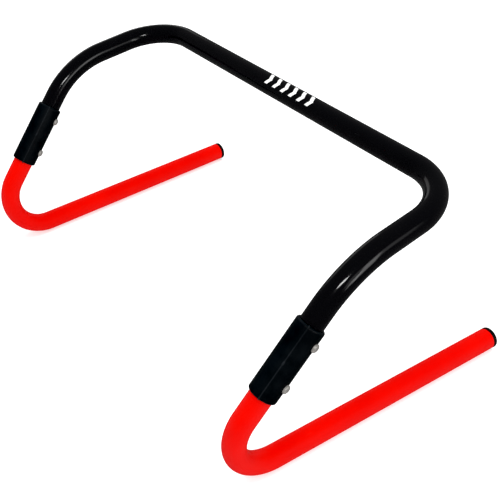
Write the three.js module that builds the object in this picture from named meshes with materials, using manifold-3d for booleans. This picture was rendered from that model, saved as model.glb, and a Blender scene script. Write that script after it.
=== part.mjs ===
// Low agility hurdle: a bent tube bar on two J-bent swivelling legs.
// Millimetres. +X runs along the crossbar, +Y is the way the feet point, +Z is up.
// The origin is on the floor, under the middle of the hurdle's box.
import * as THREE from 'three';
import * as BufferGeometryUtils from 'three/addons/utils/BufferGeometryUtils.js';
import Module from 'manifold-3d';

const wasm = await Module();
wasm.setup();

// ---------- driving dimensions ----------

// Tube stock shared by the bar and the legs.
const TUBE_RADIUS = 10;
const TUBE_WALL = 2;

// Corners of the tubes' centrelines on the right-hand side, before the bends are rounded off.
const CROSSBAR_CORNER = new THREE.Vector3(218.5, 78.13, 195.8);
const ARM_CORNER = new THREE.Vector3(222.7, -37.57, 179.9);
const HEEL_CORNER = new THREE.Vector3(208.2, -181.97, TUBE_RADIUS);
const TOE = new THREE.Vector3(223.3, 147.4, TUBE_RADIUS);

// Centreline radii of the bends.
const CROSSBAR_BEND = 50;
const ARM_BEND = 96;
const HEEL_BEND = 39;

// Coupler: a moulded sleeve over both tube ends, with a rib inside that they stop against.
const COUPLER_RADIUS = 12.2;
const COUPLER_LENGTH = 66;
const COUPLER_BORE_RADIUS = 10.45;
const COUPLER_HEIGHT = 140.7; // from the heel corner to the coupler's middle, along the leg
const RIB_WIDTH = 2;
const RIB_RADIUS = 8.4;
const RIM_ROUND = 1.4;

// Self-tapping pan-head screws, two in each coupler, both on one line.
const SCREW_SPACING = 37.6;
const SCREW_RISE = 1.7; // from the coupler's middle up to the middle of its screws
const SCREW_RADIUS = 1.95;
const SCREW_LENGTH = 9.5;
const SCREW_TIP = 2.2;
const HEAD_RADIUS = 3.75;
const HEAD_HEIGHT = 2.8;
const HEAD_SHOULDER = 1.1; // straight part of the head's height, below its dome
const SEAT_DISTANCE = 11.9; // from the coupler's axis to the flat that the head sits on
const SEAT_RADIUS = 4.5;
const HOLE_RADIUS = 2.25;
const RECESS_SPAN = 3.6;
const RECESS_WIDTH = 0.8;
const RECESS_DEPTH = 1.3;

// How far each coupler is turned round its leg, from +X, in degrees.
const COUPLER_TURN = { right: 17, left: 43 };

// Swivel of each leg in its coupler, in degrees, from the low setting to the tall one.
const SWIVEL = 180;

// Foot plugs: a flange over the tube's end and a hollow spigot inside it.
const FLANGE = 4.4;
const SPIGOT_RADIUS = 7.4;
const SPIGOT_BORE = 5.4;
const SPIGOT_LENGTH = 12;
const FLANGE_ROUND = 1;
const PLUG_CROWN = 0.4;
const PLUG_FLOOR = 0.8;

const GAP = 0.3; // between pieces that touch
const SIDES = 24; // facets round a tube or a coupler
const BORE_SIDES = 12;
const SCREW_SIDES = 16;
const DEGREES_PER_STEP = 9; // round a bend

// ---------- materials ----------

const finishes = {
  bar: { color: 0x070707, roughness: 0.22, metalness: 0 },
  leg: { color: 0xe8140a, roughness: 0.38, metalness: 0 },
  coupler: { color: 0x0f1418, roughness: 0.55, metalness: 0 },
  plug: { color: 0x101010, roughness: 0.6, metalness: 0 },
  screw: { color: 0xa8a29a, roughness: 0.35, metalness: 1 },
};

function piece(name, finish, geometry) {
  const mesh = new THREE.Mesh(geometry, new THREE.MeshStandardMaterial(finishes[finish]));
  mesh.name = name;
  return mesh;
}

// ---------- joining and cutting ----------

function toSolid(geometry) {
  const bare = geometry.clone();
  bare.deleteAttribute('normal');
  bare.deleteAttribute('uv');
  const merged = BufferGeometryUtils.mergeVertices(bare, 1e-4);
  return new wasm.Manifold(new wasm.Mesh({
    numProp: 3,
    vertProperties: new Float32Array(merged.attributes.position.array),
    triVerts: new Uint32Array(merged.index.array),
  }));
}

function toGeometry(solid) {
  const { vertProperties, triVerts } = solid.getMesh();
  const geometry = new THREE.BufferGeometry();
  geometry.setAttribute('position', new THREE.BufferAttribute(vertProperties, 3));
  geometry.setIndex(new THREE.BufferAttribute(triVerts, 1));
  geometry.computeVertexNormals();
  return geometry;
}

// The first geometry with each of the others cut out of it.
function cut(geometry, cutters) {
  let solid = toSolid(geometry);
  for (const cutter of cutters) solid = solid.subtract(toSolid(cutter));
  return toGeometry(solid);
}

// ---------- tubes ----------

// A centreline of straights and round bends. A straight is one step and a bend is several.
class BentLine extends THREE.Curve {
  constructor(corners, radii) {
    super();
    this.stretches = [];
    this.steps = 0;
    let from = corners[0];
    for (let i = 1; i < corners.length - 1; i++) {
      const into = corners[i].clone().sub(corners[i - 1]).normalize();
      const away = corners[i + 1].clone().sub(corners[i]).normalize();
      const angle = into.angleTo(away);
      const setback = radii[i - 1] * Math.tan(angle / 2);
      const start = corners[i].clone().addScaledVector(into, -setback);
      const inward = away.clone().addScaledVector(into, -away.dot(into)).normalize();
      this.addStraight(from, start);
      this.addBend(start, into, inward, radii[i - 1], angle);
      from = corners[i].clone().addScaledVector(away, setback);
    }
    this.addStraight(from, corners[corners.length - 1]);
  }

  addStraight(from, to) {
    const heading = to.clone().sub(from).normalize();
    this.stretches.push({
      steps: 1,
      point: (u, target) => target.lerpVectors(from, to, u),
      tangent: (u, target) => target.copy(heading),
    });
    this.steps += 1;
  }

  addBend(start, into, inward, radius, angle) {
    const steps = Math.ceil(THREE.MathUtils.radToDeg(angle) / DEGREES_PER_STEP);
    this.stretches.push({
      steps,
      point: (u, target) => target.copy(start)
        .addScaledVector(into, radius * Math.sin(u * angle))
        .addScaledVector(inward, radius * (1 - Math.cos(u * angle))),
      tangent: (u, target) => target.copy(into).multiplyScalar(Math.cos(u * angle))
        .addScaledVector(inward, Math.sin(u * angle)),
    });
    this.steps += steps;
  }

  at(t, what, target) {
    let left = t * this.steps;
    let i = 0;
    while (i < this.stretches.length - 1 && left > this.stretches[i].steps) {
      left -= this.stretches[i].steps;
      i += 1;
    }
    return this.stretches[i][what](left / this.stretches[i].steps, target);
  }

  getPoint(t, target = new THREE.Vector3()) {
    return this.at(t, 'point', target);
  }

  getTangent(t, target = new THREE.Vector3()) {
    return this.at(t, 'tangent', target);
  }

  // Steps fall where the stretches meet, not at even lengths.
  getUtoTmapping(u) {
    return u;
  }
}

// A regular polygon with a side square to each axis, so that a tube has a flat to rest on.
function polygon(sides, cornerRadius, path) {
  for (let i = 0; i < sides; i++) {
    const angle = (i + 0.5) * 2 * Math.PI / sides;
    const place = i === 0 ? 'moveTo' : 'lineTo';
    path[place](cornerRadius * Math.cos(angle), cornerRadius * Math.sin(angle));
  }
  path.closePath();
  return path;
}

// The sides touch the round tube from outside; the bore has the round bore's area.
const TUBE_CORNER_RADIUS = TUBE_RADIUS / Math.cos(Math.PI / SIDES);
const boreArea = Math.PI * (TUBE_RADIUS - TUBE_WALL) ** 2;
const BORE_CORNER_RADIUS = Math.sqrt(2 * boreArea / (BORE_SIDES * Math.sin(2 * Math.PI / BORE_SIDES)));

function tube(corners, radii) {
  const section = polygon(SIDES, TUBE_CORNER_RADIUS, new THREE.Shape());
  section.holes.push(polygon(BORE_SIDES, BORE_CORNER_RADIUS, new THREE.Path()));
  const line = new BentLine(corners, radii);
  return new THREE.ExtrudeGeometry(section, { steps: line.steps, extrudePath: line });
}

// ---------- the frame of each leg ----------

// On the left everything is mirrored in X.
const mirrored = { right: 1, left: -1 };

function onSide(side, point) {
  return new THREE.Vector3(mirrored[side] * point.x, point.y, point.z);
}

// A leg's own frame: Z up the leg from the heel corner, X as near to the crossbar's as it can be.
function legFrame(side) {
  const heel = onSide(side, HEEL_CORNER);
  const up = onSide(side, ARM_CORNER).sub(heel).normalize();
  const forward = new THREE.Vector3().crossVectors(up, new THREE.Vector3(1, 0, 0)).normalize();
  const across = new THREE.Vector3().crossVectors(forward, up);
  return new THREE.Matrix4().makeBasis(across, forward, up).setPosition(heel);
}

// A point on the leg's axis, in the part's frame.
function alongLeg(side, distance) {
  return new THREE.Vector3(0, 0, distance).applyMatrix4(legFrame(side));
}

const screwHeights = {
  bar: COUPLER_HEIGHT + SCREW_RISE + SCREW_SPACING / 2,
  leg: COUPLER_HEIGHT + SCREW_RISE - SCREW_SPACING / 2,
};

// A round cutter from the leg's axis outwards, in the leg's frame.
function radialHole(radius, height, turn, from = 0) {
  const length = 2 * COUPLER_RADIUS - from;
  const hole = new THREE.CylinderGeometry(radius, radius, length, SCREW_SIDES);
  hole.rotateZ(-Math.PI / 2);
  hole.translate(from + length / 2, 0, 0);
  hole.rotateZ(THREE.MathUtils.degToRad(turn));
  hole.translate(0, 0, height);
  return hole;
}

// ---------- sub-parts ----------

function topBar() {
  const inset = COUPLER_HEIGHT + RIB_WIDTH / 2 + GAP;
  const corners = [
    alongLeg('left', inset),
    onSide('left', ARM_CORNER),
    onSide('left', CROSSBAR_CORNER),
    onSide('right', CROSSBAR_CORNER),
    onSide('right', ARM_CORNER),
    alongLeg('right', inset),
  ];
  const holes = Object.keys(mirrored).map((side) => (
    radialHole(HOLE_RADIUS, screwHeights.bar, COUPLER_TURN[side]).applyMatrix4(legFrame(side))
  ));
  const bends = [ARM_BEND, CROSSBAR_BEND, CROSSBAR_BEND, ARM_BEND];
  return piece('top_bar', 'bar', cut(tube(corners, bends), holes));
}

// The slot round the leg that the lower screw runs in: a half ring with round ends.
function swivelSlot(side) {
  const first = side === 'right' ? COUPLER_TURN.right : COUPLER_TURN.left - SWIVEL;
  const last = first + SWIVEL;
  const inner = TUBE_RADIUS / 2;
  const outer = COUPLER_RADIUS;
  const band = new THREE.Shape();
  band.absarc(0, 0, outer, THREE.MathUtils.degToRad(first), THREE.MathUtils.degToRad(last), false);
  band.absarc(0, 0, inner, THREE.MathUtils.degToRad(last), THREE.MathUtils.degToRad(first), true);
  band.closePath();
  const ring = new THREE.ExtrudeGeometry(band, {
    depth: 2 * HOLE_RADIUS,
    steps: 1,
    curveSegments: SIDES,
    bevelEnabled: false,
  });
  ring.translate(0, 0, screwHeights.leg - HOLE_RADIUS);
  const ends = [first, last].map((turn) => radialHole(HOLE_RADIUS, screwHeights.leg, turn));
  return [ring, ...ends];
}

function leg(side) {
  const heel = onSide(side, HEEL_CORNER);
  const toe = onSide(side, TOE);
  const foot = toe.clone().sub(heel).normalize();
  const corners = [
    toe.addScaledVector(foot, -FLANGE - GAP),
    heel,
    alongLeg(side, COUPLER_HEIGHT - RIB_WIDTH / 2 - GAP),
  ];
  const slot = swivelSlot(side).map((cutter) => cutter.applyMatrix4(legFrame(side)));
  return piece(`leg_${side}`, 'leg', cut(tube(corners, [HEEL_BEND]), slot));
}

// A quarter round of a turned profile, about (x, y), between two angles in degrees.
function round(x, y, radius, from, to, points = 3) {
  return Array.from({ length: points + 1 }, (_, i) => {
    const angle = THREE.MathUtils.degToRad(from + (to - from) * i / points);
    return new THREE.Vector2(x + radius * Math.cos(angle), y + radius * Math.sin(angle));
  });
}

function coupler(side) {
  const half = COUPLER_LENGTH / 2;
  const rim = COUPLER_RADIUS - RIM_ROUND;
  const profile = [
    new THREE.Vector2(COUPLER_BORE_RADIUS, -half),
    ...round(rim, -half + RIM_ROUND, RIM_ROUND, -90, 0),
    ...round(rim, half - RIM_ROUND, RIM_ROUND, 0, 90),
    new THREE.Vector2(COUPLER_BORE_RADIUS, half),
    new THREE.Vector2(COUPLER_BORE_RADIUS, RIB_WIDTH / 2),
    new THREE.Vector2(RIB_RADIUS, RIB_WIDTH / 2),
    new THREE.Vector2(RIB_RADIUS, -RIB_WIDTH / 2),
    new THREE.Vector2(COUPLER_BORE_RADIUS, -RIB_WIDTH / 2),
    new THREE.Vector2(COUPLER_BORE_RADIUS, -half),
  ];
  const sleeve = new THREE.LatheGeometry(profile, SIDES);
  sleeve.rotateX(Math.PI / 2);
  sleeve.translate(0, 0, COUPLER_HEIGHT);
  const cutters = Object.values(screwHeights).flatMap((height) => [
    radialHole(HOLE_RADIUS, height, COUPLER_TURN[side]),
    radialHole(SEAT_RADIUS, height, COUPLER_TURN[side], SEAT_DISTANCE),
  ]);
  return piece(`coupler_${side}`, 'coupler', cut(sleeve, cutters));
}

// A pan-head screw standing on z = 0 under its head, with its shank below.
function screwGeometry() {
  const crown = HEAD_HEIGHT - HEAD_SHOULDER;
  const dome = Array.from({ length: 4 }, (_, i) => {
    const angle = Math.PI / 2 * (1 - i / 4);
    return new THREE.Vector2(HEAD_RADIUS * Math.sin(angle), HEAD_SHOULDER + crown * Math.cos(angle));
  });
  const profile = [
    new THREE.Vector2(0, -SCREW_LENGTH),
    new THREE.Vector2(SCREW_RADIUS, -SCREW_LENGTH + SCREW_TIP),
    new THREE.Vector2(SCREW_RADIUS, 0),
    new THREE.Vector2(HEAD_RADIUS, 0),
    ...dome,
    new THREE.Vector2(0, HEAD_HEIGHT),
  ];
  const body = new THREE.LatheGeometry(profile, SCREW_SIDES);
  const slots = [0, Math.PI / 2].map((turn) => {
    const slot = new THREE.BoxGeometry(RECESS_SPAN, 2 * RECESS_DEPTH, RECESS_WIDTH);
    slot.translate(0, HEAD_HEIGHT, 0);
    return slot.rotateY(turn);
  });
  const geometry = cut(body, slots);
  return geometry.rotateX(Math.PI / 2);
}

// Screws stand out along the coupler's turn, with their heads on its flats.
function screw(side, which) {
  const mesh = piece(`${which}_screw_${side}`, 'screw', screwGeometry());
  const turn = THREE.MathUtils.degToRad(COUPLER_TURN[side]);
  const reach = SEAT_DISTANCE + GAP;
  mesh.position.set(reach * Math.cos(turn), reach * Math.sin(turn), screwHeights[which]);
  mesh.rotation.set(0, Math.PI / 2, turn, 'ZYX');
  return mesh;
}

function footPlug(side) {
  const flangeRadius = TUBE_CORNER_RADIUS;
  const edge = flangeRadius - FLANGE_ROUND;
  const inner = -FLANGE - SPIGOT_LENGTH;
  const floor = -FLANGE - PLUG_FLOOR;
  const profile = [
    new THREE.Vector2(0, floor),
    new THREE.Vector2(SPIGOT_BORE, floor),
    new THREE.Vector2(SPIGOT_BORE, inner),
    new THREE.Vector2(SPIGOT_RADIUS, inner),
    new THREE.Vector2(SPIGOT_RADIUS, -FLANGE),
    new THREE.Vector2(flangeRadius, -FLANGE),
    ...round(edge, -PLUG_CROWN - FLANGE_ROUND, FLANGE_ROUND, 0, 90),
    new THREE.Vector2(0, 0),
  ];
  const geometry = new THREE.LatheGeometry(profile, SIDES, Math.PI / SIDES);
  const mesh = piece(`foot_plug_${side}`, 'plug', geometry);
  const toe = onSide(side, TOE);
  const foot = toe.clone().sub(onSide(side, HEEL_CORNER)).normalize();
  mesh.position.copy(toe);
  mesh.rotation.z = Math.atan2(-foot.x, foot.y);
  return mesh;
}

// ---------- assembly ----------

const hurdle = new THREE.Group();
hurdle.add(topBar());
for (const side of Object.keys(mirrored)) {
  const joint = new THREE.Group();
  joint.applyMatrix4(legFrame(side));
  joint.add(coupler(side), screw(side, 'bar'), screw(side, 'leg'));
  hurdle.add(joint, leg(side), footPlug(side));
}

export default hurdle;
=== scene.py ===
import math

import bmesh
import bpy
import numpy as np
from mathutils import Matrix, Vector
from mathutils.kdtree import KDTree


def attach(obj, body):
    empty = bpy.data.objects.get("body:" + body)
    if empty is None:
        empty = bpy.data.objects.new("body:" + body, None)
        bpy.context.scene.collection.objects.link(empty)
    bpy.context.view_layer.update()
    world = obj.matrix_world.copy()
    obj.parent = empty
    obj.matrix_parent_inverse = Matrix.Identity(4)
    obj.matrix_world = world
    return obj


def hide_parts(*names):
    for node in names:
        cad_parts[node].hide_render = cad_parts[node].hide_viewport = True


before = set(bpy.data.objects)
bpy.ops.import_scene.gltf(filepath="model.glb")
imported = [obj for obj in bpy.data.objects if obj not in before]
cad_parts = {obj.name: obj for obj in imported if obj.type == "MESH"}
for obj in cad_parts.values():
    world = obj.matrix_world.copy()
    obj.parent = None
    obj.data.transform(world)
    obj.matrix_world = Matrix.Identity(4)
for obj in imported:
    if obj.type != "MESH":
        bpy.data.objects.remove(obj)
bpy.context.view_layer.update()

# Looks of a low agility hurdle: a gloss black bent bar on two satin red legs, with moulded couplers,
# self-tapping screws and foot plugs.
# Metres, in the CAD model's frame: +X along the crossbar, +Y the way the feet point, +Z up.

# ---------- sizes shared with the CAD design ----------

MM = 0.001
TUBE_RADIUS = 10 * MM
TUBE_WALL = 2 * MM
CROSSBAR_CORNER = Vector((218.5, 78.13, 195.8)) * MM
ARM_CORNER = Vector((222.7, -37.57, 179.9)) * MM
HEEL_CORNER = Vector((208.2, -181.97, 10)) * MM
TOE = Vector((223.3, 147.4, 10)) * MM
CROSSBAR_BEND = 50 * MM
ARM_BEND = 96 * MM
HEEL_BEND = 39 * MM

COUPLER_RADIUS = 12.2 * MM
COUPLER_HALF = 33 * MM
COUPLER_HEIGHT = 140.7 * MM  # from the heel corner to the coupler's middle
RIB_HALF = 1 * MM
RIB_RADIUS = 8.4 * MM

SCREW_MIDDLE = COUPLER_HEIGHT + 1.7 * MM
SCREW_HEIGHT = {"bar": SCREW_MIDDLE + 18.8 * MM, "leg": SCREW_MIDDLE - 18.8 * MM}
SEAT_DISTANCE = 11.9 * MM
SEAT_RADIUS = 4.5 * MM
HEAD_RADIUS = 3.75 * MM
HEAD_HEIGHT = 2.8 * MM
SHANK_LENGTH = 9.5 * MM
FLANGE = 4.4 * MM

SIDES = {"right": 1, "left": -1}
LEG_BODY = {"right": "right_leg", "left": "left_leg"}
BAR_BODY = "bar"
COUPLER_TURN = {"right": math.radians(17), "left": math.radians(43)}
SWIVEL = math.radians(180)

# ---------- sizes of the finer shapes ----------

TUBE_POINTS = 72
TUBE_BEVEL = 0.35 * MM
STRAIGHT_STEP = 4 * MM
BEND_STEP = math.radians(1.5)
BEND_EASE = math.radians(18)  # how far into a bend its squeeze comes in
BULGE = 0.3  # how much of a bend's squeeze comes out at the tube's sides
CREASE_FROM = 0.55  # cosine of the widest angle from a bend's inside at which it creases
TUBE_END_GAP = 0.15 * MM

COUPLER_BORE = 10.12 * MM
RIM_ROUND = 1.75 * MM
BORE_EDGE = 0.15 * MM
SEAM_TURN = math.radians(-75)  # from the screws' line to the coupler's parting line
SEAM_WIDTH, SEAM_LIFT = 0.32 * MM, 0.16 * MM
GATE_WIDTH, GATE_HEIGHT, GATE_LIFT = 0.75 * MM, 1.5 * MM, 0.38 * MM
NUB_WIDTH, NUB_LIFT, NUB_RISE = 0.6 * MM, 0.3 * MM, 0.7 * MM
SEAM_PAINTED_HIGHLIGHT, RIM_POLISH = 0.9, 0.35  # from 0 to 1: the share of painted highlight along the parting lines, and of wear on the rims

HOLE_RADIUS = 2 * MM
SLOT_HALF = 2.1 * MM
HEAD_SHOULDER = 1.0 * MM
SHANK_POINT = 2.4 * MM
THREAD_CORE = 1.45 * MM
THREAD_CREST = 0.5 * MM
THREAD_PITCH = 1.35 * MM

PLUG_CROWN = 0.5 * MM
PLUG_GAP = 0.08 * MM

# ---------- mesh helpers ----------

# The values that points carry for the materials: their type, the name of their field and its size.
PAINT = {"track": ("FLOAT_VECTOR", "vector", 3), "rim_wear_and_seam_highlight": ("FLOAT", "value", 1)}
SHARP = math.radians(40)  # faces that meet at less than this look smooth
SAME_POINT = 1e-7  # points nearer than this are one


def paint(mesh, key, rows):
    kind, field, _ = PAINT[key]
    layer = mesh.attributes.get(key) or mesh.attributes.new(key, kind, "POINT")
    layer.data.foreach_set(field, np.array(rows, np.float32).ravel())


def skin(name, rings, loop=False, attributes=None):
    """A mesh through rings of points: an array of ring, point, xyz.

    A ring of one repeated point closes to a pole.
    """
    rings = np.asarray(rings, float)
    count, around = rings.shape[:2]
    points, index = [], np.zeros((count, around), int)
    values = {key: [] for key in attributes or {}}
    for i in range(count):
        pole = np.ptp(rings[i], axis=0).max() < SAME_POINT
        for j in range(1 if pole else around):
            index[i, j] = len(points)
            points.append(rings[i, j])
            for key in values:
                values[key].append(attributes[key][i, j])
        if pole:
            index[i] = index[i, 0]
    faces = []
    for i in range(count if loop else count - 1):
        for j in range(around):
            k = (j + 1) % around
            below, above = index[i], index[(i + 1) % count]
            face = list(dict.fromkeys([below[j], below[k], above[k], above[j]]))
            if len(face) > 2:
                faces.append([int(v) for v in face])
    mesh = bpy.data.meshes.new(name)
    mesh.from_pydata([tuple(p) for p in points], [], faces)
    for key, rows in values.items():
        paint(mesh, key, rows)
    return finished(name, mesh)


def finished(name, mesh):
    """Links a mesh as an object, with its faces pointing out and smooth."""
    work = bmesh.new()
    work.from_mesh(mesh)
    bmesh.ops.recalc_face_normals(work, faces=work.faces)
    if work.calc_volume(signed=True) < 0:
        bmesh.ops.reverse_faces(work, faces=work.faces)
    work.to_mesh(mesh)
    work.free()
    mesh.shade_smooth()
    mesh.set_sharp_from_angle(angle=SHARP)
    obj = bpy.data.objects.new(name, mesh)
    bpy.context.scene.collection.objects.link(obj)
    return obj


def keep_paint(old, new):
    """Gives each point of a cut mesh what the nearest point of the whole mesh carries."""
    tree = KDTree(len(old.vertices))
    for vertex in old.vertices:
        tree.insert(vertex.co, vertex.index)
    tree.balance()
    nearest = [tree.find(vertex.co)[1] for vertex in new.vertices]
    for key, (_, field, size) in PAINT.items():
        if key in old.attributes:
            values = np.zeros(len(old.vertices) * size, np.float32)
            old.attributes[key].data.foreach_get(field, values)
            paint(new, key, values.reshape(-1, size)[nearest])


def carve(obj, cutters, sharp=SHARP):
    """Cuts closed meshes out of a piece and removes the cutters."""
    whole = obj.data
    for cutter in cutters:
        modifier = obj.modifiers.new("cut", "BOOLEAN")
        modifier.operation = "DIFFERENCE"
        modifier.solver = "EXACT"
        modifier.object = cutter
    bpy.context.view_layer.update()
    cut = obj.evaluated_get(bpy.context.evaluated_depsgraph_get())
    shape = bpy.data.meshes.new_from_object(cut)
    obj.modifiers.clear()
    work = bmesh.new()
    work.from_mesh(shape)
    bmesh.ops.dissolve_degenerate(work, edges=work.edges, dist=0.001 * MM)
    work.to_mesh(shape)
    work.free()
    keep_paint(whole, shape)
    obj.data = shape
    shape.shade_smooth()
    shape.set_sharp_from_angle(angle=sharp)
    for cutter in cutters:
        bpy.data.objects.remove(cutter)
    return obj


def place(obj, matrix):
    """Moves a piece's own points, so that its object stays at the origin."""
    obj.data.transform(matrix)
    return obj


def spaced(values, least):
    """The values in order, without those that follow another too closely."""
    kept = []
    for value in np.sort(values):
        if not kept or value - kept[-1] > least:
            kept.append(value)
    return np.array(kept)


def smooth_step(x):
    x = np.clip(x, 0, 1)
    return x * x * (3 - 2 * x)


# ---------- centrelines ----------


def bent_line(corners, radii):
    """A line of straights joined by round bends: its points, its tangents, the way to each bend's
    centre, and how far into a bend each point is, from 0 to 1.
    """
    points, tangents, inward, tight = [], [], [], []

    def add(point, tangent, towards, amount):
        points.append(np.array(point))
        tangents.append(np.array(tangent))
        inward.append(np.array(towards))
        tight.append(amount)

    start = corners[0]
    for i in range(1, len(corners)):
        heading = (corners[i] - corners[i - 1]).normalized()
        last = i == len(corners) - 1
        if last:
            end = corners[i]
        else:
            away = (corners[i + 1] - corners[i]).normalized()
            angle = heading.angle(away)
            end = corners[i] - heading * radii[i - 1] * math.tan(angle / 2)
        steps = max(2, round((end - start).length / STRAIGHT_STEP))
        for k in range(steps + 1 if last else steps):
            add(start.lerp(end, k / steps), heading, (0, 0, 0), 0)
        if last:
            break
        towards = (away - heading * away.dot(heading)).normalized()
        steps = round(angle / BEND_STEP)
        for k in range(steps + 1):
            turn = angle * k / steps
            point = end + heading * radii[i - 1] * math.sin(turn)
            point += towards * radii[i - 1] * (1 - math.cos(turn))
            tangent = heading * math.cos(turn) + towards * math.sin(turn)
            centre = towards * math.cos(turn) - heading * math.sin(turn)
            # the tube is round where the bend begins and ends
            ease = smooth_step(min(turn, angle - turn) / min(angle / 2, BEND_EASE))
            add(point, tangent, centre, float(ease))
        start = corners[i] + away * radii[i - 1] * math.tan(angle / 2)
    gaps = np.linalg.norm(np.diff(points, axis=0), axis=1)
    keep = [0] + [k + 1 for k, gap in enumerate(gaps) if gap > SAME_POINT]
    return [np.array(rows)[keep] for rows in (points, tangents, inward, tight)]


def frames_along(tangents, first, anchor):
    """Normals that follow a line without twisting, carried both ways from the point numbered anchor."""
    normals = np.zeros_like(tangents)
    normals[anchor] = first - tangents[anchor] * np.dot(first, tangents[anchor])
    normals[anchor] /= np.linalg.norm(normals[anchor])
    for step in (1, -1):
        stop = len(tangents) if step > 0 else -1
        for k in range(anchor + step, stop, step):
            n = normals[k - step] - tangents[k] * np.dot(normals[k - step], tangents[k])
            normals[k] = n / np.linalg.norm(n)
    return normals


def creases(ripple, run, tight, bend, into):
    """How far each point stands out in the waves on the inside of a tube's bends."""
    facing = np.clip(into - CREASE_FROM, 0, 1) / (1 - CREASE_FROM)
    height = np.zeros_like(into)
    for number, depth, waves in ripple:
        inside = (bend == number) & (tight > 0)
        along = (run - run[inside].min()) / np.ptp(run[inside])
        wave = np.where(inside, np.sin(along * math.pi * waves) ** 2 * tight, 0)
        height += depth * wave[:, None] * facing**2
    return height


def tube(name, corners, radii, up, middle, flatten, ripple=()):
    """A hollow bent tube.

    up is a normal at the place that middle names, a share of the tube's length, and the track is
    measured from there. flatten is how much each bend squeezes the tube. ripple gives the number of
    each bend that creases, with its creases' depth and how many there are.
    """
    points, tangents, inward, tight = bent_line(corners, radii)
    run = np.concatenate([[0], np.cumsum(np.linalg.norm(np.diff(points, axis=0), axis=1))])
    anchor = int(np.argmin(np.abs(run - run[-1] * middle)))
    normals = frames_along(tangents, np.array(up, float), anchor)
    sideways = np.cross(tangents, normals)
    angles = np.linspace(0, 2 * math.pi, TUBE_POINTS, endpoint=False)
    cosines, sines = np.cos(angles), np.sin(angles)
    around = normals[:, None, :] * cosines[None, :, None] + sideways[:, None, :] * sines[None, :, None]
    into = np.einsum("kax,kx->ka", around, inward)
    # which bend each point belongs to, or the one before it on a straight
    bend = np.cumsum(np.diff(np.concatenate([[0], (tight > 0).astype(int)])) > 0) - 1
    squeeze = (np.array(flatten)[np.clip(bend, 0, len(flatten) - 1)] * tight)[:, None]
    scale = 1 - squeeze * into**2 + BULGE * squeeze * (1 - into**2)
    crease = creases(ripple, run, tight, bend, into)

    def wall(radius, rows):
        return points[rows, None, :] + around[rows] * (radius * scale[rows] + crease[rows])[..., None]

    every = np.arange(len(run))
    outer = wall(TUBE_RADIUS, every)
    outer_start = wall(TUBE_RADIUS - TUBE_BEVEL, every[:1])
    outer_end = wall(TUBE_RADIUS - TUBE_BEVEL, every[-1:])
    outer[0] += tangents[0] * TUBE_BEVEL
    outer[-1] -= tangents[-1] * TUBE_BEVEL
    inner = wall(TUBE_RADIUS - TUBE_WALL, every[::-1])
    rings = np.concatenate([outer_start, outer, outer_end, inner])
    rows = np.concatenate([every[:1], every, every[-1:], every[::-1]])
    track = np.zeros(rings.shape)
    track[..., 0] = (run[rows] - run[anchor])[:, None]
    track[..., 1] = cosines
    track[..., 2] = sines
    return skin(name, rings, loop=True, attributes={"track": track})


def on_side(side, point):
    return Vector((SIDES[side] * point.x, point.y, point.z))


def leg_frame(side):
    """The frame whose Z runs up the leg from the heel corner, with X as near the crossbar's as it can be."""
    heel = on_side(side, HEEL_CORNER)
    up = (on_side(side, ARM_CORNER) - heel).normalized()
    forward = up.cross(Vector((1, 0, 0))).normalized()
    across = forward.cross(up)
    return Matrix.Translation(heel) @ Matrix((across, forward, up)).transposed().to_4x4()


def along_leg(side, distance):
    return leg_frame(side) @ Vector((0, 0, distance))


# ---------- pieces ----------


def make_bar():
    """The whole bent tube, from one stub to the other, with a hole in each for its screw."""
    inset = COUPLER_HEIGHT + RIB_HALF + TUBE_END_GAP
    corners = [
        along_leg("left", inset),
        on_side("left", ARM_CORNER),
        on_side("left", CROSSBAR_CORNER),
        on_side("right", CROSSBAR_CORNER),
        on_side("right", ARM_CORNER),
        along_leg("right", inset),
    ]
    bar = tube(
        "bar_tube",
        corners,
        [ARM_BEND, CROSSBAR_BEND, CROSSBAR_BEND, ARM_BEND],
        up=(0, 0, 1),
        middle=0.5,
        flatten=(0.02, 0.015, 0.015, 0.02),
        ripple=((1, 0.12 * MM, 3), (2, 0.12 * MM, 3)),
    )
    holes = [
        place(peg(HOLE_RADIUS, 0, COUPLER_RADIUS, SCREW_HEIGHT["bar"], COUPLER_TURN[side]), leg_frame(side))
        for side in SIDES
    ]
    return carve(bar, holes)


def swivel_slot(side):
    """Cutters for the half turn round a leg that its screw runs in: a band and its two round ends."""
    first = COUPLER_TURN[side] if side == "right" else COUPLER_TURN[side] - SWIVEL
    near, far = TUBE_RADIUS - 2 * TUBE_WALL, COUPLER_RADIUS
    low, high = SCREW_HEIGHT["leg"] - SLOT_HALF, SCREW_HEIGHT["leg"] + SLOT_HALF
    corners = ((near, low), (far, low), (far, high), (near, high))
    rings = []
    steps = 60
    for turn in np.linspace(first, first + SWIVEL, steps + 1):
        rings.append([(r * math.cos(turn), r * math.sin(turn), z) for r, z in corners])
    rings.insert(0, [np.mean(rings[0], axis=0)] * len(corners))
    rings.append([np.mean(rings[-1], axis=0)] * len(corners))
    end_radius = SLOT_HALF * 1.005  # so that no face of a round end lies in a face of the band
    turns = (first, first + SWIVEL)
    ends = [peg(end_radius, near, far, SCREW_HEIGHT["leg"], turn) for turn in turns]
    return [place(cutter, leg_frame(side)) for cutter in (skin("cutter", rings), *ends)]


def make_leg(side):
    """The J-bent tube, from its foot to the coupler's rib, with the slot that its screw runs in."""
    heel, toe = on_side(side, HEEL_CORNER), on_side(side, TOE)
    foot = (toe - heel).normalized()
    corners = [
        toe - foot * (FLANGE + PLUG_GAP),
        heel,
        along_leg(side, COUPLER_HEIGHT - RIB_HALF - TUBE_END_GAP),
    ]
    leg = tube(f"leg_tube_{side}", corners, [HEEL_BEND], up=(0, 0, 1), middle=0, flatten=(0.02,))
    return carve(leg, swivel_slot(side))


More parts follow.
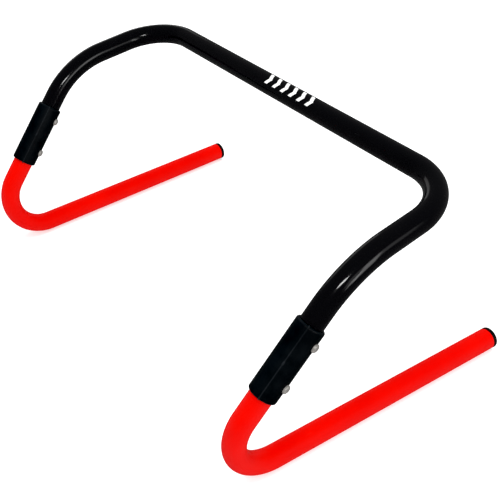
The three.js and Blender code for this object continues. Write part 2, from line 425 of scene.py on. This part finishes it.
def arc(centre, radius, first, last, count):
    """Points of an arc in a turned profile, angles in degrees."""
    return [
        (centre[0] + radius * math.cos(math.radians(a)), centre[1] + radius * math.sin(math.radians(a)))
        for a in np.linspace(first, last, count)
    ]


def turned(name, profile, count=96):
    """A piece turned about Z from (radius, height) points."""
    angles = np.linspace(0, 2 * math.pi, count, endpoint=False)
    rings = [[(r * math.cos(a), r * math.sin(a), z) for a in angles] for r, z in profile]
    return skin(name, rings)


def peg(radius, start, end, height, turn, flare=0.0):
    """A closed cutter: a round peg that stands out from the leg's axis, wider at its outer end by flare."""
    around = 59  # odd, so that its edges don't run along those of the pieces it cuts
    shape = turned("cutter", [(0, start), (radius, start), (radius + flare, end), (0, end)], around)
    lay = Matrix.Rotation(math.pi / 2, 4, "Y")
    return place(shape, Matrix.Translation((0, 0, height)) @ Matrix.Rotation(turn, 4, "Z") @ lay)


def coupler_profile():
    """(radius, height) points of the sleeve's outside and of its inside, which has a rib in the middle."""
    edge = COUPLER_RADIUS - RIM_ROUND
    top = COUPLER_HALF - RIM_ROUND
    gate = 2 * GATE_HEIGHT
    heights = np.concatenate([np.linspace(-top, top, 32), np.linspace(-gate, gate, 25)])
    outer = arc((edge, -top), RIM_ROUND, -90, 0, 9)[:-1]
    outer += [(COUPLER_RADIUS, h) for h in spaced(heights, 0.06 * MM)]
    outer += arc((edge, top), RIM_ROUND, 0, 90, 9)[1:]
    # fine enough for the holes to be cut cleanly
    bore = [(COUPLER_BORE, h) for h in np.linspace(COUPLER_HALF - BORE_EDGE, RIB_HALF, 10)]
    half = [(COUPLER_BORE + BORE_EDGE, COUPLER_HALF), *bore, (RIB_RADIUS, RIB_HALF)]
    return outer, half + [(r, -h) for r, h in reversed(half)]


def parting_line(angles, seam, z, tip, gate):
    """What a parting line adds at height z: to the sleeve's radius, to its height and to its painted
    highlight.
    """
    off = (np.mod(angles - seam + math.pi, 2 * math.pi) - math.pi) * COUPLER_RADIUS
    ridge = np.exp(-((off / SEAM_WIDTH) ** 2))
    lift = SEAM_LIFT * ridge
    if gate:
        lump = np.exp(-((off / GATE_WIDTH) ** 4) - (z / GATE_HEIGHT) ** 4)
        lift = lift + GATE_LIFT * lump
        ridge = np.maximum(ridge, lump)
    near_rim = smooth_step((abs(z) - COUPLER_HALF + RIM_ROUND + NUB_WIDTH) / RIM_ROUND)
    nub = np.exp(-((off / NUB_WIDTH) ** 4)) * near_rim
    # the ridge is lower where the rim rounds off
    outward = lift * (1 - 0.4 * tip) + NUB_LIFT * nub
    endward = np.sign(z) * tip * nub * NUB_RISE
    # the third value is a painted highlight along the ridge, the gate lump and the nub
    return outward, endward, SEAM_PAINTED_HIGHLIGHT * np.maximum(ridge, nub)


def make_coupler(side):
    """The sleeve, with its two parting lines, the gate mark on one of them, and the screws' spot faces."""
    first_seam = COUPLER_TURN[side] + SEAM_TURN
    seams = [first_seam, first_seam + math.pi]
    fine = np.radians(np.linspace(-6, 6, 25))  # close together across each parting line
    angles = np.concatenate([np.radians(np.arange(0, 360, 3.75))] + [seam + fine for seam in seams])
    angles = spaced(np.mod(angles, 2 * math.pi), math.radians(0.2))
    outer, inside = coupler_profile()
    rings, rim_wear_and_seam_highlight = [], []
    for number, (r, z) in enumerate(outer + inside):
        radius = np.full(len(angles), r)
        height = np.full(len(angles), z)
        shine = np.full(len(angles), 0.0)
        # shine holds a painted highlight along the parting lines, gate lump and nub, and wear on the rims
        if number < len(outer):
            tip = smooth_step((abs(z) - COUPLER_HALF + RIM_ROUND) / RIM_ROUND)
            for seam in seams:
                outward, endward, seam_highlight = parting_line(angles, seam, z, tip, gate=seam == first_seam)
                radius = radius + outward
                height = height + endward
                shine = np.maximum(shine, seam_highlight)
            shine = np.maximum(shine, RIM_POLISH * tip)
        height = height + COUPLER_HEIGHT
        rings.append(np.stack([radius * np.cos(angles), radius * np.sin(angles), height], axis=1))
        rim_wear_and_seam_highlight.append(shine)
    sleeve = skin(f"coupler_shell_{side}", rings, loop=True, attributes={"rim_wear_and_seam_highlight": np.array(rim_wear_and_seam_highlight)})
    turn, flare = COUPLER_TURN[side], 2 * MM
    cutters = []
    for height in SCREW_HEIGHT.values():
        cutters.append(peg(SEAT_RADIUS, SEAT_DISTANCE, SEAT_DISTANCE + flare, height, turn, flare))
        cutters.append(peg(HOLE_RADIUS, TUBE_RADIUS / 2, 2 * COUPLER_RADIUS, height, turn))
    return place(carve(sleeve, cutters), leg_frame(side))


def make_screw(which, side, spin):
    """A self-tapping pan-head screw with a rolled thread and a cross recess, on its coupler's spot face."""
    around = 40
    angles = np.linspace(0, 2 * math.pi, around, endpoint=False)

    def ring(radius, z):
        return np.stack([radius * np.cos(angles), radius * np.sin(angles), np.full(around, z)], axis=1)

    neck = 0.6 * MM
    crest_half = 0.28  # half a crest's width, as a share of the pitch
    rings = [ring(0, -SHANK_LENGTH)]
    for z in np.linspace(-SHANK_LENGTH + 0.15 * MM, -neck, 90):
        point = smooth_step((z + SHANK_LENGTH) / SHANK_POINT)
        phase = np.mod(z / THREAD_PITCH - angles / (2 * math.pi), 1)
        crest = np.clip(1 - np.abs(phase - 0.5) / crest_half, 0, 1)
        fade = smooth_step((-neck - z) / (0.8 * MM))
        rings.append(ring((THREAD_CORE + THREAD_CREST * crest * fade) * point, z))
    rings += [ring(r, z) for r, z in head_profile()]
    # unlike depths, so that the floor of one doesn't lie in the floor of the other
    wings = [recess_wing(0, 1.5 * MM), recess_wing(math.pi / 2, 1.44 * MM)]
    screw = carve(skin(f"{which}_screw_steel_{side}", rings), wings, sharp=math.radians(30))
    upright = Matrix.Rotation(math.pi / 2, 4, "Y") @ Matrix.Rotation(spin, 4, "Z")
    turn = Matrix.Rotation(COUPLER_TURN[side], 4, "Z")
    seat = turn @ Matrix.Translation((SEAT_DISTANCE, 0, SCREW_HEIGHT[which]))
    return place(screw, leg_frame(side) @ seat @ upright)


def head_profile():
    """(radius, height) points of a pan head, from under it to the middle of its dome."""
    edge = 0.25 * MM
    under = [(THREAD_CORE, -edge), (THREAD_CORE + edge, 0), (HEAD_RADIUS - edge, 0)]
    flank = [(HEAD_RADIUS, edge), (HEAD_RADIUS, HEAD_SHOULDER)]
    crown = HEAD_HEIGHT - HEAD_SHOULDER
    fullness = 0.75  # 1 gives an ellipse, and less gives squarer shoulders
    dome = [
        (HEAD_RADIUS * math.cos(a) ** fullness, HEAD_SHOULDER + crown * math.sin(a))
        for a in np.linspace(0.12, math.pi / 2 - 0.02, 16)
    ]
    return under + flank + dome + [(0, HEAD_HEIGHT)]


def recess_wing(turn, depth):
    """The cutter for one slot of the cross recess: wide at the top of the head and narrow at its floor."""
    top, floor = HEAD_HEIGHT + 0.5 * MM, HEAD_HEIGHT - depth
    section = ((-1, -1), (1, -1), (1, 1), (-1, 1))
    levels = ((0, 0, floor), (0.75 * MM, 0.3 * MM, floor), (1.95 * MM, 0.5 * MM, top), (0, 0, top))
    rings = [[(x * length, y * width, z) for x, y in section] for length, width, z in levels]
    return place(skin("cutter", rings), Matrix.Rotation(turn, 4, "Z"))


def make_plug(side):
    """The foot plug: a flange with a soft rim, a shallow ring in its face, and a ribbed spigot."""

    def face(radius, depth=0):
        return (radius, -PLUG_CROWN * radius / TUBE_RADIUS - depth)

    rim, edge, groove = 0.9 * MM, 0.25 * MM, 0.22 * MM
    spigot, hollow = 7.6 * MM, 6 * MM
    tip = -FLANGE - 12 * MM
    floor = -FLANGE + 0.6 * MM
    profile = [(0, floor), (hollow, floor), (hollow, tip), (spigot - 0.6 * MM, tip), (spigot, tip + 1 * MM)]
    for rib in range(3):
        base = tip + (3 + 3 * rib) * MM
        profile += [(spigot, base), (spigot + 0.35 * MM, base + 0.7 * MM), (spigot, base + 0.9 * MM)]
    profile += [(spigot, -FLANGE), (TUBE_RADIUS - edge, -FLANGE), (TUBE_RADIUS, -FLANGE + edge)]
    profile += arc((TUBE_RADIUS - rim, -PLUG_CROWN - rim), rim, 0, 86, 9)
    profile += [face(8.2 * MM), face(7.9 * MM, groove), face(7.4 * MM, groove), face(7.1 * MM)]
    profile += [face(4 * MM), face(1.7 * MM), face(1.4 * MM, groove), (0, -groove)]
    plug = turned(f"foot_plug_cap_{side}", profile)
    toe, heel = on_side(side, TOE), on_side(side, HEEL_CORNER)
    foot = (toe - heel).normalized()
    turn = foot.to_track_quat("Z", "X").to_matrix().to_4x4()
    return place(plug, Matrix.Translation(toe) @ turn)


# ---------- material nodes ----------


class Nodes:
    """Short names for the shader nodes of one material."""

    def __init__(self, name):
        self.material = bpy.data.materials.new(name)
        self.material.use_nodes = True
        self.tree = self.material.node_tree
        self.tree.nodes.clear()
        self.output = self.tree.nodes.new("ShaderNodeOutputMaterial")
        self.shader = self.tree.nodes.new("ShaderNodeBsdfPrincipled")
        self.link(self.shader.outputs["BSDF"], self.output.inputs["Surface"])
        self.place = self.tree.nodes.new("ShaderNodeTexCoord").outputs["Object"]

    def link(self, source, target):
        self.tree.links.new(source, target)

    def feed(self, socket, value):
        if isinstance(value, bpy.types.NodeSocket):
            self.link(value, socket)
        else:
            socket.default_value = value

    def set(self, **values):
        """Feeds the shader's sockets, whose names are given with _ for a space."""
        for key, value in values.items():
            self.feed(self.shader.inputs[key.replace("_", " ")], value)

    def attribute(self, name):
        node = self.tree.nodes.new("ShaderNodeAttribute")
        node.attribute_name = name
        return node

    def noise(self, scale, detail=3, roughness=0.55, vector=None):
        """Noise with scale in waves per metre of the object, or per unit of another vector."""
        node = self.tree.nodes.new("ShaderNodeTexNoise")
        self.feed(node.inputs["Vector"], vector or self.place)
        self.feed(node.inputs["Scale"], scale)
        self.feed(node.inputs["Detail"], detail)
        self.feed(node.inputs["Roughness"], roughness)
        return node.outputs["Fac"]

    def stretched(self, vector, scale):
        node = self.tree.nodes.new("ShaderNodeMapping")
        node.inputs["Scale"].default_value = scale
        self.feed(node.inputs["Vector"], vector)
        return node.outputs["Vector"]

    def span(self, value, low, high, to_low=0.0, to_high=1.0):
        """Takes low to to_low and high to to_high, with a smooth run between."""
        node = self.tree.nodes.new("ShaderNodeMapRange")
        node.interpolation_type = "SMOOTHSTEP"
        self.feed(node.inputs["Value"], value)
        limits = {"From Min": low, "From Max": high, "To Min": to_low, "To Max": to_high}
        for key, number in limits.items():
            self.feed(node.inputs[key], number)
        return node.outputs["Result"]

    def math(self, operation, a, b=0.0):
        node = self.tree.nodes.new("ShaderNodeMath")
        node.operation = operation
        self.feed(node.inputs[0], a)
        self.feed(node.inputs[1], b)
        return node.outputs[0]

    def mix(self, share, a, b):
        node = self.tree.nodes.new("ShaderNodeMix")
        node.data_type = "RGBA"
        self.feed(node.inputs["Factor"], share)
        self.feed(node.inputs["A"], a)
        self.feed(node.inputs["B"], b)
        return node.outputs["Result"]

    def bump(self, height, strength, distance, normal=None):
        node = self.tree.nodes.new("ShaderNodeBump")
        self.feed(node.inputs["Height"], height)
        self.feed(node.inputs["Strength"], strength)
        self.feed(node.inputs["Distance"], distance)
        if normal is not None:
            self.feed(node.inputs["Normal"], normal)
        return node.outputs["Normal"]

    def split(self, vector):
        node = self.tree.nodes.new("ShaderNodeSeparateXYZ")
        self.feed(node.inputs[0], vector)
        return node.outputs


def rgb(r, g, b):
    return (r, g, b, 1)


def print_mask(nodes, track):
    """A plain row of chevrons printed round the top of the crossbar: 1 on the ink and 0 off it."""
    along, cosine, sine = nodes.split(track)
    count, pitch = 6, 12 * MM
    stroke = 0.36  # a stroke's share of the pitch
    slant = 0.62  # how far a stroke leans along the tube for its height round it
    middle = 15.5 * MM  # along the crossbar from its middle
    half_length = count / 2 * pitch
    band_turn, half_band = 0.36, 6.4 * MM  # the band's middle round the tube, in radians, and half its height
    apex_turn = 0.48  # where the chevrons' points lie round the tube, in radians
    soft, edge = 0.012, 0.1 * MM  # half the fade at a stroke's side, and at the band's edge
    angle = nodes.math("ARCTAN2", sine, cosine)

    def height_from(turn):
        off = nodes.math("SUBTRACT", angle, turn)
        return nodes.math("ABSOLUTE", nodes.math("MULTIPLY", off, TUBE_RADIUS))

    shift = nodes.math("SUBTRACT", along, middle)
    leaning = nodes.math("ADD", shift, nodes.math("MULTIPLY", height_from(apex_turn), slant))
    saw = nodes.math("PINGPONG", nodes.math("ADD", nodes.math("DIVIDE", leaning, pitch), 0.5), 0.5)
    strokes = nodes.span(saw, stroke / 2 - soft, stroke / 2 + soft, 1.0, 0.0)
    rows = nodes.span(height_from(band_turn), half_band - edge, half_band + edge, 1.0, 0.0)
    ends = nodes.span(nodes.math("ABSOLUTE", leaning), half_length - edge, half_length, 1.0, 0.0)
    return nodes.math("MULTIPLY", nodes.math("MULTIPLY", strokes, rows), ends)


def bar_material():
    """Gloss black tube: faint draw lines, handling scuffs, and a white print on the crossbar."""
    nodes = Nodes("gloss_black_tube")
    track = nodes.attribute("track").outputs["Vector"]
    draw = nodes.noise(1.0, 4, 0.6, nodes.stretched(track, (6, 14, 14)))
    cloud = nodes.noise(28, 3)
    grit = nodes.noise(900, 2)
    scratch = nodes.noise(1.0, 5, 0.7, nodes.stretched(track, (55, 9, 9)))
    scuffs = nodes.math("MULTIPLY", nodes.span(scratch, 0.64, 0.70), nodes.span(cloud, 0.52, 0.62))
    ink = print_mask(nodes, track)
    worn = nodes.math("MULTIPLY", ink, nodes.span(nodes.noise(1400, 3), 0.30, 0.36))
    dull = nodes.math("MULTIPLY", scuffs, 0.35)
    black = nodes.mix(dull, rgb(0.0035, 0.0035, 0.004), rgb(0.03, 0.03, 0.031))
    nodes.set(Base_Color=nodes.mix(worn, black, rgb(0.86, 0.86, 0.85)))
    shine = nodes.math("ADD", nodes.span(cloud, 0.3, 0.7, 0.09, 0.14), nodes.math("MULTIPLY", scuffs, 0.22))
    nodes.set(Roughness=nodes.math("ADD", shine, nodes.math("MULTIPLY", worn, 0.2)))
    smooth = nodes.bump(draw, 0.18, 0.1 * MM)
    smooth = nodes.bump(grit, 0.06, 0.02 * MM, smooth)
    nodes.set(Normal=nodes.bump(worn, 0.5, 0.03 * MM, smooth))
    nodes.set(IOR=1.45, Specular_IOR_Level=0.5)
    return nodes.material


def leg_material():
    """Satin red tube: draw lines along it, slight clouds of shade, and rubbing where it meets the floor."""
    nodes = Nodes("satin_red_tube")
    track = nodes.attribute("track").outputs["Vector"]
    draw = nodes.noise(1.0, 4, 0.6, nodes.stretched(track, (5, 12, 12)))
    cloud = nodes.noise(22, 4)
    grit = nodes.noise(1100, 2)
    scratch = nodes.noise(1.0, 5, 0.7, nodes.stretched(track, (70, 8, 8)))
    low = nodes.span(nodes.split(nodes.place)[2], 0.0, 0.004, 1.0, 0.0)
    scuffs = nodes.math("MULTIPLY", nodes.span(scratch, 0.60, 0.68), nodes.span(cloud, 0.5, 0.6))
    marks = nodes.math("MAXIMUM", nodes.math("MULTIPLY", scuffs, 0.4), nodes.math("MULTIPLY", low, 0.35))
    red = nodes.mix(nodes.span(cloud, 0.3, 0.7), rgb(0.64, 0.0020, 0.0008), rgb(0.69, 0.0030, 0.0010))
    nodes.set(Base_Color=nodes.mix(marks, red, rgb(0.55, 0.02, 0.012)))
    shine = nodes.math("ADD", nodes.span(draw, 0.3, 0.7, 0.44, 0.54), nodes.math("MULTIPLY", marks, 0.3))
    nodes.set(Roughness=shine)
    smooth = nodes.bump(draw, 0.22, 0.1 * MM)
    nodes.set(Normal=nodes.bump(grit, 0.10, 0.03 * MM, smooth))
    nodes.set(IOR=1.45, Specular_IOR_Level=0.1)
    return nodes.material


def moulded_material(name, dark, light, roughness):
    """Moulded plastic with a fine spark-eroded grain, polished a little on its rims, and with a painted
    highlight along its parting lines.
    """
    nodes = Nodes(name)
    rim_wear_and_seam_highlight = nodes.attribute("rim_wear_and_seam_highlight").outputs["Fac"]
    grain = nodes.noise(2600, 2)
    cloud = nodes.noise(60, 4)
    # painted highlight along the parting lines, and wear on the rims: a lighter colour and less roughness
    marks = nodes.math("MULTIPLY", rim_wear_and_seam_highlight, nodes.span(cloud, 0.25, 0.6, 0.45, 1.0))
    base = nodes.mix(nodes.span(cloud, 0.3, 0.7), dark, light)
    nodes.set(Base_Color=nodes.mix(nodes.math("MULTIPLY", marks, 0.5), base, rgb(0.026, 0.031, 0.036)))
    rough = nodes.span(cloud, 0.3, 0.7, roughness, roughness + 0.1)
    nodes.set(Roughness=nodes.math("SUBTRACT", rough, nodes.math("MULTIPLY", marks, 0.14)))
    grained = nodes.bump(grain, 0.35, 0.04 * MM)
    nodes.set(Normal=nodes.bump(nodes.noise(240, 3), 0.12, 0.1 * MM, grained))
    nodes.set(IOR=1.45, Specular_IOR_Level=0.3)
    return nodes.material


def steel_material():
    """Dull zinc-plated steel: cloudy in shade and gloss, with small dark spots."""
    nodes = Nodes("zinc_plated_steel")
    cloud = nodes.noise(500, 4)
    spots = nodes.noise(1800, 3)
    colour = nodes.mix(nodes.span(cloud, 0.3, 0.7), rgb(0.34, 0.325, 0.305), rgb(0.50, 0.48, 0.45))
    nodes.set(Base_Color=nodes.mix(nodes.span(spots, 0.62, 0.72, 0.0, 0.5), colour, rgb(0.22, 0.20, 0.17)))
    nodes.set(Roughness=nodes.span(cloud, 0.3, 0.7, 0.3, 0.48))
    nodes.set(Normal=nodes.bump(spots, 0.2, 0.03 * MM))
    nodes.set(Metallic=0.55)
    return nodes.material


def floor_material():
    """Plain pale studio floor."""
    nodes = Nodes("pale_floor")
    tone = nodes.span(nodes.noise(3, 2), 0.3, 0.7)
    nodes.set(Base_Color=nodes.mix(tone, rgb(0.70, 0.70, 0.70), rgb(0.72, 0.72, 0.72)))
    nodes.set(Roughness=0.85, Specular_IOR_Level=0.1, Emission_Color=rgb(1, 1, 1), Emission_Strength=0.5)
    return nodes.material


# ---------- assembly ----------


def show(piece, body, slot, material, *nodes):
    """Gives a finished piece its material and its body, and hides the CAD nodes it stands for. Its slot is
    not used.
    """
    piece.data.materials.clear()
    piece.data.materials.append(material)
    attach(piece, body)
    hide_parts(*nodes)


red, black_tube = leg_material(), bar_material()
blue_black = (rgb(0.0014, 0.0024, 0.0034), rgb(0.0030, 0.0048, 0.0064))
coupler_plastic = moulded_material("coupler_plastic_grain", *blue_black, 0.46)
plain_black = (rgb(0.0045, 0.0045, 0.0045), rgb(0.008, 0.008, 0.008))
plug_plastic = moulded_material("plug_plastic_grain", *plain_black, 0.5)
steel = steel_material()

show(make_bar(), BAR_BODY, "bar_tube", black_tube, "top_bar")
spins = {("right", "bar"): 0.3, ("right", "leg"): 1.1, ("left", "bar"): 0.75, ("left", "leg"): 0.1}
for side in SIDES:
    show(make_coupler(side), BAR_BODY, "coupler_plastic", coupler_plastic, f"coupler_{side}")
    for which in SCREW_HEIGHT:
        screw = make_screw(which, side, spins[side, which])
        show(screw, BAR_BODY, "screw_steel", steel, f"{which}_screw_{side}")
    leg = make_leg(side)
    leg.visible_glossy = False  # so that no red shows in the gloss of the black pieces
    show(leg, LEG_BODY[side], "leg_tube", red, f"leg_{side}")
    show(make_plug(side), LEG_BODY[side], "plug_plastic", plug_plastic, f"foot_plug_{side}")

# ---------- stage, light and camera ----------

CAMERA_PLACE = Vector((548.5, -354.9, 532.6)) * MM
CAMERA_TURN = (53.295, 1.207, 53.846)  # degrees
FOCAL_LENGTH = 58.18  # of a sensor 36 wide
ROOM_LIGHT = 0.8
ROOM_REFLECTION = 0.11
BLACK_LEVEL = 0.007
MIDDLE = (0, 0, 0.12)


def make_floor():
    """A plain floor just under the feet, which the object's gloss doesn't see."""
    mesh = bpy.data.meshes.new("studio_floor")
    reach = 6
    corners = [(-reach, -reach, 0), (reach, -reach, 0), (reach, reach, 0), (-reach, reach, 0)]
    mesh.from_pydata(corners, [], [(0, 1, 2, 3)])
    floor = bpy.data.objects.new("studio_floor", mesh)
    floor.location.z = -0.2 * MM
    mesh.materials.append(floor_material())
    floor.visible_glossy = False
    bpy.context.scene.collection.objects.link(floor)


def softbox(name, position, aim, size, watts, reflected):
    """A rectangular lamp. One that isn't reflected lights the object without a highlight of its own."""
    lamp = bpy.data.lights.new(name, "AREA")
    lamp.shape = "RECTANGLE"
    lamp.size, lamp.size_y = size
    lamp.energy = watts
    obj = bpy.data.objects.new(name, lamp)
    obj.location = position
    obj.rotation_euler = (Vector(aim) - Vector(position)).to_track_quat("-Z", "Y").to_euler()
    obj.visible_glossy = reflected
    obj.visible_camera = False
    bpy.context.scene.collection.objects.link(obj)


def make_world():
    """An even pale room, which the object's gloss sees as a dim one."""
    world = bpy.data.worlds.new("studio")
    bpy.context.scene.world = world
    world.use_nodes = True
    tree = world.node_tree
    ray = tree.nodes.new("ShaderNodeLightPath")
    strength = tree.nodes.new("ShaderNodeMapRange")
    strength.inputs["To Min"].default_value = ROOM_LIGHT
    strength.inputs["To Max"].default_value = ROOM_REFLECTION
    tree.links.new(ray.outputs["Is Glossy Ray"], strength.inputs["Value"])
    tree.links.new(strength.outputs["Result"], tree.nodes["Background"].inputs["Strength"])
    tree.nodes["Background"].inputs["Color"].default_value = rgb(1, 1, 1)


def make_camera():
    """A camera in front of the right leg, looking down on the hurdle."""
    lens = bpy.data.cameras.new("camera")
    lens.sensor_width = 36
    lens.lens = FOCAL_LENGTH
    camera = bpy.data.objects.new("camera", lens)
    camera.location = CAMERA_PLACE
    camera.rotation_euler = [math.radians(a) for a in CAMERA_TURN]
    bpy.context.scene.collection.objects.link(camera)
    bpy.context.scene.camera = camera


def set_tone():
    """Plain colours, with the faintest greys taken down to black."""
    view = bpy.context.scene.view_settings
    view.view_transform = "Standard"
    view.use_curve_mapping = True
    view.curve_mapping.black_level = (BLACK_LEVEL,) * 3
    view.curve_mapping.update()


make_floor()
make_world()
softbox("overhead", (0, 0, 2), (0, 0, 0), (2, 2), 33, reflected=False)
softbox("side_window", (1.25, 0.2, 0.58), MIDDLE, (1.0, 0.4), 0.8, reflected=True)
softbox("window_core", (1.2, 0.18, 0.42), MIDDLE, (0.3, 0.5), 1.1, reflected=True)
softbox("window_pane", (1.13, -0.01, 0.30), MIDDLE, (0.16, 0.2), 0.3, reflected=True)
softbox("rear_card", (-1.0, 0.22, 0.38), MIDDLE, (0.7, 0.4), 0.45, reflected=True)
softbox("flash", CAMERA_PLACE + Vector((0, 0, 0.13)), MIDDLE, (0.16, 0.08), 0.9, reflected=True)
make_camera()
set_tone()
